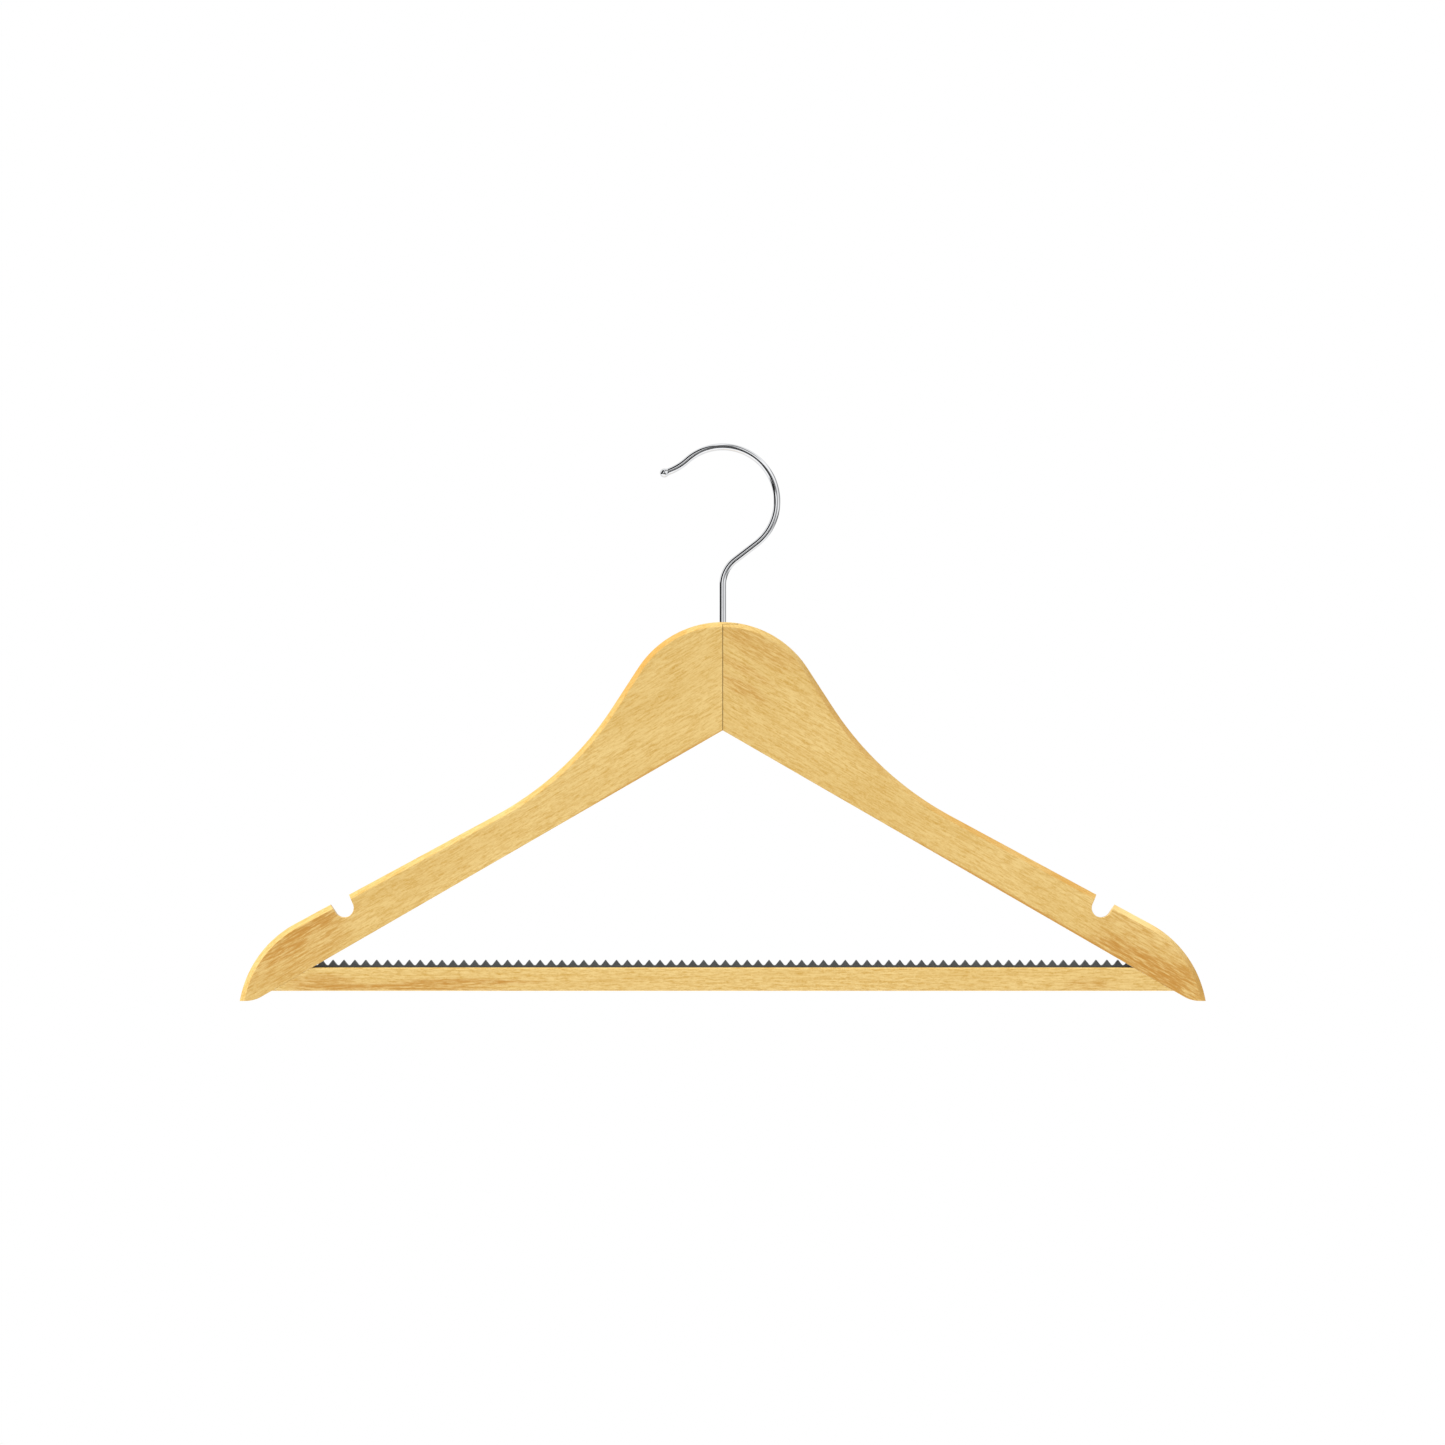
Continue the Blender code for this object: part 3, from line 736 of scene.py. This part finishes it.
# ---- Materials ---------------------------------------------------------------------------------
class Nodes:
    """Short names for building the node tree of a material, given by its name, or of a world."""

    def __init__(self, owner):
        if isinstance(owner, str):
            self.material = bpy.data.materials.new(owner)
            self.material.use_nodes = True
            self.tree = self.material.node_tree
            self.shader = self.tree.nodes["Principled BSDF"]
        else:
            self.tree = owner.node_tree

    def add(self, kind, **links):
        node = self.tree.nodes.new(kind)
        for key, value in links.items():
            self.plug(node.inputs[key.replace("_", " ")], value)
        return node

    def plug(self, socket, value):
        if isinstance(value, bpy.types.NodeSocket):
            self.tree.links.new(value, socket)
        else:
            socket.default_value = value

    def math(self, operation, *values, clamp=False):
        node = self.tree.nodes.new("ShaderNodeMath")
        node.operation = operation
        node.use_clamp = clamp
        for socket, value in zip(node.inputs, values):
            self.plug(socket, value)
        return node.outputs[0]

    def vector_node(self, operation, values, scale):
        node = self.tree.nodes.new("ShaderNodeVectorMath")
        node.operation = operation
        for socket, value in zip(node.inputs, values):
            self.plug(socket, value)
        if scale is not None:
            self.plug(node.inputs["Scale"], scale)
        return node

    def vector(self, operation, *values, scale=None):
        return self.vector_node(operation, values, scale).outputs["Vector"]

    def vector_value(self, operation, *values):
        return self.vector_node(operation, values, None).outputs["Value"]

    def remap(self, value, low, high, to_low=0.0, to_high=1.0, smooth=False):
        node = self.tree.nodes.new("ShaderNodeMapRange")
        node.interpolation_type = "SMOOTHSTEP" if smooth else "LINEAR"
        for socket, item in zip(node.inputs, (value, low, high, to_low, to_high)):
            self.plug(socket, item)
        return node.outputs[0]

    def mix(self, share, first, second):
        node = self.tree.nodes.new("ShaderNodeMix")
        node.data_type = "RGBA"
        for index, value in ((0, share), (6, first), (7, second)):
            self.plug(node.inputs[index], value)
        return node.outputs[2]

    def noise(self, vector, scale, detail=2.0, roughness=0.5, distortion=0.0):
        node = self.add(
            "ShaderNodeTexNoise",
            Vector=vector,
            Scale=scale,
            Detail=detail,
            Roughness=roughness,
            Distortion=distortion,
        )
        return node.outputs["Fac"]

    def stretched(self, vector, size, offset=(0.0, 0.0, 0.0)):
        """A vector counted in cells of the given size, in metres, along each axis."""
        scale = tuple(1.0 / length for length in size)
        node = self.add("ShaderNodeMapping", Vector=vector, Scale=scale, Location=offset)
        return node.outputs[0]

    def turned(self, vector, angle):
        node = self.add("ShaderNodeMapping", Vector=vector, Rotation=(0.0, angle, 0.0))
        return node.outputs[0]

    def bump(self, height, distance, strength=1.0, normal=None):
        node = self.add("ShaderNodeBump", Height=height, Distance=distance, Strength=strength)
        if normal is not None:
            self.plug(node.inputs["Normal"], normal)
        return node.outputs[0]


def wood_material(
    name,
    grain_pitch,
    seed,
    figure,
    tone_middle=0.5,
    line_length=0.012,
    patches=(),
    underside_painted_shades=(),
    rim_tints_and_highlights=(),
):
    """Lacquered pale hardwood with its grain at an angle below +X.

    Figure scales how strongly the grain shows. A lower tone_middle makes more of the wood pale.
    The fine lines are about line_length long. Patches, underside shade lines and rim tints are
    lists as at the top of this script. The underside lines are painted shade, and one rim tint on
    the right arm is a painted highlight. The rim is the rounding along the edges; its colour is
    paled there, partly as rubbed lacquer and partly as a painted highlight.
    """
    n = Nodes(name)
    position = n.add("ShaderNodeTexCoord").outputs["Object"]
    grain = n.turned(position, -grain_pitch)
    shift = (seed * 7.3, seed * 3.1, seed * 5.7)

    tone = n.noise(n.stretched(grain, (0.06, 0.014, 0.014), shift), 1.0, 3.0, 0.6)
    rings = n.noise(n.stretched(grain, (0.05, 0.006, 0.004), shift), 1.0, 2.0, 0.55, 0.4)
    streaks = n.noise(n.stretched(grain, (0.0060, 0.0008, 0.0008), shift), 1.0, 3.0, 0.68)
    pores = n.noise(n.stretched(grain, (0.0026, 0.0005, 0.0005), shift), 1.0, 2.0, 0.7)
    lines = n.noise(n.stretched(grain, (line_length, 0.0006, 0.0007), shift), 1.0, 2.0, 0.6)
    flecks = n.noise(n.stretched(grain, (0.0010, 0.0010, 0.0008), shift), 1.0, 2.0, 0.6)

    tone = n.remap(tone, tone_middle - 0.15, tone_middle + 0.15)
    colour = n.mix(tone, WOOD_BODY, WOOD_PALE)
    colour = n.mix(n.remap(rings, 0.45, 0.7, 0.0, 0.14), colour, WOOD_DARK)
    colour = n.mix(n.remap(streaks, 0.46, 0.70, 0.0, 0.72 * figure), colour, WOOD_DARK)
    colour = n.mix(n.remap(pores, 0.50, 0.75, 0.0, 0.70 * figure), colour, WOOD_DARK)
    colour = n.mix(n.remap(lines, 0.53, 0.70, 0.0, 0.45 * figure), colour, WOOD_DARK)
    colour = n.mix(n.remap(flecks, 0.52, 0.8, 0.0, 0.65 * figure), colour, WOOD_PALE)

    normal = n.add("ShaderNodeTexCoord").outputs["Normal"]
    facing = n.math("ABSOLUTE", n.vector_value("DOT_PRODUCT", normal, (0.0, 1.0, 0.0)))
    rim = n.remap(facing, RIM_START, RIM_FULL)
    streaked = n.math("ADD", streaks, n.math("MULTIPLY", lines, 0.6))
    streaked = n.remap(streaked, 0.64, 0.92, 0.12)
    off_rim = n.math("SUBTRACT", 1.0, rim)
    patches_and_shade_lines = [(n.math("MULTIPLY", streaked, off_rim), patch) for patch in patches]
    # The underside lines are painted shade: brown where less light falls on the lower edges.
    patches_and_shade_lines += [(off_rim, painted_shade_line) for painted_shade_line in underside_painted_shades]
    for mask, (centre, along, across, strength) in patches_and_shade_lines:
        middle = Matrix.Rotation(-grain_pitch, 3, "Y") @ Vector((centre[0], 0.0, centre[1]))
        local = n.vector("SUBTRACT", grain, tuple(middle))
        local = n.vector("DIVIDE", local, (along, 1.0, across))
        inside = n.remap(n.vector_value("LENGTH", local), 1.0, 0.4, 0.0, strength, smooth=True)
        colour = n.mix(n.math("MULTIPLY", inside, mask, clamp=True), colour, WOOD_BROWN)

    # The rim is paled: partly rubbed lacquer, partly a painted highlight.
    wear_and_highlight_noise = n.noise(n.stretched(position, (0.005, 0.003, 0.005), shift), 1.0, 4.0, 0.7)
    rim_wear_and_highlight = n.math("MULTIPLY", rim, n.remap(wear_and_highlight_noise, 0.5, 0.7))
    colour = n.mix(n.math("MULTIPLY", rim_wear_and_highlight, 0.4), colour, WOOD_PALE)
    rounding = n.math("MULTIPLY", rim, n.remap(facing, 0.1, 0.5))
    # Amber tints along the rim, and on the right arm a painted highlight.
    for centre, reach, strength, rim_tint_and_highlight in rim_tints_and_highlights:
        away = n.vector("SUBTRACT", position, (centre[0], 0.0, centre[1]))
        near = n.remap(n.vector_value("LENGTH", away), reach, 0.0, 0.0, strength, smooth=True)
        colour = n.mix(n.math("MULTIPLY", near, rounding), colour, rim_tint_and_highlight)
    n.plug(n.shader.inputs["Base Color"], colour)

    rough = n.noise(n.stretched(grain, (0.006, 0.002, 0.002), shift), 1.0, 3.0, 0.6)
    rough = n.math("ADD", n.remap(rough, 0.25, 0.75, 0.40, 0.56), n.math("MULTIPLY", rim_wear_and_highlight, 0.1))
    n.plug(n.shader.inputs["Roughness"], rough)
    n.shader.inputs["Coat Weight"].default_value = 0.25
    n.shader.inputs["Coat Roughness"].default_value = 0.28
    height = n.math("ADD", n.math("MULTIPLY", streaks, -0.6), n.math("MULTIPLY", pores, -0.4))
    normal = n.bump(height, 0.00006, 0.5)
    ripple = n.noise(n.stretched(position, (0.003, 0.003, 0.003)), 1.0, 1.0)
    n.plug(n.shader.inputs["Normal"], n.bump(ripple, 0.00003, 0.4, normal))
    return n.material


def dowel_material():
    """Bare beech with its grain along X."""
    n = Nodes("dowel_beech")
    position = n.add("ShaderNodeTexCoord").outputs["Object"]
    streaks = n.noise(n.stretched(position, (0.008, 0.0006, 0.0006)), 1.0, 3.0, 0.6)
    flecks = n.noise(n.stretched(position, (0.0015, 0.0003, 0.0003)), 1.0, 1.0)
    colour = n.mix(n.remap(streaks, 0.3, 0.7), (0.72, 0.50, 0.28, 1.0), (0.52, 0.32, 0.16, 1.0))
    colour = n.mix(n.remap(flecks, 0.58, 0.7, 0.0, 0.5), colour, (0.40, 0.23, 0.11, 1.0))
    n.plug(n.shader.inputs["Base Color"], colour)
    n.plug(n.shader.inputs["Roughness"], n.remap(streaks, 0.3, 0.7, 0.6, 0.75))
    n.plug(n.shader.inputs["Normal"], n.bump(flecks, 0.00005, 0.6))
    return n.material


def chrome_material():
    """Bright chrome plate with faint drawing marks."""
    n = Nodes("bright_chrome")
    position = n.add("ShaderNodeTexCoord").outputs["Object"]
    haze = n.noise(n.stretched(position, (0.004, 0.004, 0.004)), 1.0, 3.0, 0.6)
    marks = n.noise(n.stretched(position, (0.0004, 0.0004, 0.0004)), 1.0, 2.0, 0.7)
    colour = n.mix(n.remap(haze, 0.3, 0.7), (0.86, 0.87, 0.89, 1.0), (0.80, 0.81, 0.83, 1.0))
    n.plug(n.shader.inputs["Base Color"], colour)
    n.shader.inputs["Metallic"].default_value = 1.0
    n.plug(n.shader.inputs["Roughness"], n.remap(haze, 0.3, 0.7, 0.015, 0.05))
    n.plug(n.shader.inputs["Normal"], n.bump(marks, 0.000002, 0.15))
    return n.material


def vinyl_material():
    """Matt charcoal soft vinyl with a moulded grain."""
    n = Nodes("charcoal_vinyl")
    position = n.add("ShaderNodeTexCoord").outputs["Object"]
    cloud = n.noise(n.stretched(position, (0.006, 0.004, 0.003)), 1.0, 3.0, 0.6)
    grain = n.noise(n.stretched(position, (0.0003, 0.0003, 0.0003)), 1.0, 2.0, 0.6)
    colour = n.mix(n.remap(cloud, 0.3, 0.7), (0.046, 0.049, 0.051, 1.0), (0.066, 0.070, 0.072, 1.0))
    colour = n.mix(n.remap(grain, 0.5, 0.8, 0.0, 0.35), colour, (0.12, 0.125, 0.13, 1.0))
    n.plug(n.shader.inputs["Base Color"], colour)
    n.plug(n.shader.inputs["Roughness"], n.remap(cloud, 0.3, 0.7, 0.5, 0.64))
    n.plug(n.shader.inputs["Normal"], n.bump(grain, 0.00003, 0.5))
    return n.material


def zinc_material():
    """Bright zinc plate."""
    n = Nodes("bright_zinc")
    position = n.add("ShaderNodeTexCoord").outputs["Object"]
    cloud = n.noise(n.stretched(position, (0.0016, 0.0016, 0.0016)), 1.0, 3.0, 0.6)
    marks = n.noise(n.stretched(position, (0.0003, 0.0003, 0.0003)), 1.0, 2.0, 0.7)
    colour = n.mix(n.remap(cloud, 0.3, 0.7), (0.60, 0.61, 0.63, 1.0), (0.48, 0.49, 0.50, 1.0))
    n.plug(n.shader.inputs["Base Color"], colour)
    n.shader.inputs["Metallic"].default_value = 1.0
    n.plug(n.shader.inputs["Roughness"], n.remap(cloud, 0.3, 0.7, 0.24, 0.4))
    n.plug(n.shader.inputs["Normal"], n.bump(marks, 0.00001, 0.4))
    return n.material


def floor_material():
    """Matt white studio floor."""
    n = Nodes("pale_floor")
    position = n.add("ShaderNodeTexCoord").outputs["Object"]
    cloud = n.noise(position, 3.0, 3.0)
    n.plug(
        n.shader.inputs["Base Color"],
        n.mix(n.remap(cloud, 0.3, 0.7), (0.90, 0.90, 0.90, 1.0), (0.94, 0.94, 0.94, 1.0)),
    )
    n.shader.inputs["Roughness"].default_value = 0.7
    return n.material


# ---- Stage -------------------------------------------------------------------------------------
def make_floor(base_z):
    """A disc well below the hanger, which hangs."""
    shape = bmesh.new()
    bmesh.ops.create_circle(shape, cap_ends=True, radius=FLOOR_RADIUS, segments=FLOOR_SIDES)
    floor = new_object("floor", shape)
    floor.location.z = base_z - FLOOR_DROP
    floor.data.materials.append(floor_material())
    floor.visible_glossy = False


def sun(name, direction, strength, spread):
    """Even light from a direction. Strength 1 lights a surface that faces it as a white dome would."""
    data = bpy.data.lights.new(name, "SUN")
    data.energy = strength * math.pi
    data.angle = math.radians(spread)
    lamp = bpy.data.objects.new(name, data)
    bpy.context.scene.collection.objects.link(lamp)
    lamp.rotation_euler = Vector(direction).to_track_quat("Z", "Y").to_euler()
    lamp.visible_glossy = False


def card_shade(n, place_on_ball, start, end, core, edge, darkness):
    """1 where a dark card isn't seen. The card is a stroke on a mirror ball seen from the front."""
    line = Vector(end) - Vector(start)
    offset = n.vector("SUBTRACT", place_on_ball, (start[0], 0.0, start[1]))
    along = n.vector_value("DOT_PRODUCT", offset, tuple((line / line.length_squared).to_3d().xzy))
    along = n.math("ADD", along, 0.0, clamp=True)  # stays between the stroke's ends
    nearest = n.vector("SCALE", line.to_3d().xzy, scale=along)
    distance = n.vector_value("LENGTH", n.vector("SUBTRACT", offset, nearest))
    return n.remap(distance, core, edge, 1.0 - darkness, 1.0, smooth=True)


def make_world():
    """White behind the object, even light on it, and a white studio with dark cards in mirrors."""
    world = bpy.data.worlds.new("studio")
    world.use_nodes = True
    world.cycles.sampling_method = "NONE"
    bpy.context.scene.world = world
    n = Nodes(world)
    background = n.tree.nodes["Background"]
    direction = n.add("ShaderNodeTexCoord").outputs["Generated"]
    half = n.vector("NORMALIZE", n.vector("SUBTRACT", direction, (0.0, 1.0, 0.0)))
    on_ball = n.vector("MULTIPLY", half, (1.0, 0.0, 1.0))
    out = n.vector_value("LENGTH", on_ball)
    room = n.remap(out, ROOM_FALL_START, ROOM_FALL_END, ROOM_CENTRE, ROOM_RIM, smooth=True)
    for card in DARK_CARDS:
        room = n.math("MULTIPLY", room, card_shade(n, on_ball, *card))
    height = n.vector_value("DOT_PRODUCT", direction, (0.0, 0.0, 1.0))
    ambient = n.remap(height, -1.0, 1.0, AMBIENT_BELOW, AMBIENT_ABOVE)
    path = n.add("ShaderNodeLightPath")
    seen = n.mix(path.outputs["Is Glossy Ray"], ambient, room)
    seen = n.mix(path.outputs["Is Camera Ray"], seen, (1.0, 1.0, 1.0, 1.0))
    n.plug(background.inputs["Color"], seen)
    sun("key", KEY_DIRECTION, KEY, KEY_SPREAD)
    sun("fill", FILL_DIRECTION, FILL, FILL_SPREAD)
    sun("back_fill", BACK_FILL_DIRECTION, BACK_FILL, FILL_SPREAD)


def make_camera(centre_z, front_y):
    """Straight in front of the hanger, level, from far away."""
    data = bpy.data.cameras.new("camera")
    data.lens = CAMERA_LENS
    data.sensor_width = CAMERA_SENSOR
    camera = bpy.data.objects.new("camera", data)
    bpy.context.scene.collection.objects.link(camera)
    distance = FRAME_WIDTH * CAMERA_LENS / CAMERA_SENSOR
    camera.location = (CAMERA_X, front_y - distance, centre_z - CAMERA_DROP)
    camera.rotation_euler.x = math.pi / 2
    bpy.context.scene.camera = camera


def main():
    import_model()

    left_wood = wood_material(
        "left_arm_wood",
        -UNDERSIDE_PITCH,
        seed=1,
        figure=ARM_FIGURE,
        patches=LEFT_ARM_PATCHES,
        underside_painted_shades=LEFT_UNDERSIDE_PAINTED_SHADE,
        rim_tints_and_highlights=LEFT_RIM_TINTS,
    )
    right_wood = wood_material(
        "right_arm_wood",
        UNDERSIDE_PITCH,
        seed=3,
        figure=ARM_FIGURE,
        patches=RIGHT_ARM_PATCHES,
        underside_painted_shades=RIGHT_UNDERSIDE_PAINTED_SHADE,
        rim_tints_and_highlights=RIGHT_RIM_TINTS_AND_HIGHLIGHT,
    )
    bar_wood = wood_material(
        "bar_wood",
        0.0,
        seed=5,
        figure=BAR_FIGURE,
        tone_middle=0.34,
        line_length=0.032,
        patches=BAR_PATCHES,
    )
    make_arms(left_wood, right_wood)
    make_bar(bar_wood)
    make_dowels(dowel_material())
    make_strip(vinyl_material())
    make_hook(chrome_material())
    zinc = zinc_material()
    make_washer(zinc)
    make_nut(zinc)

    low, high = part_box("left_arm")
    centre = (low.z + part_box("hook")[1].z) / 2
    make_floor(low.z)
    make_world()
    make_camera(centre, -high.y)
    bpy.context.scene.view_settings.view_transform = "Standard"


main()
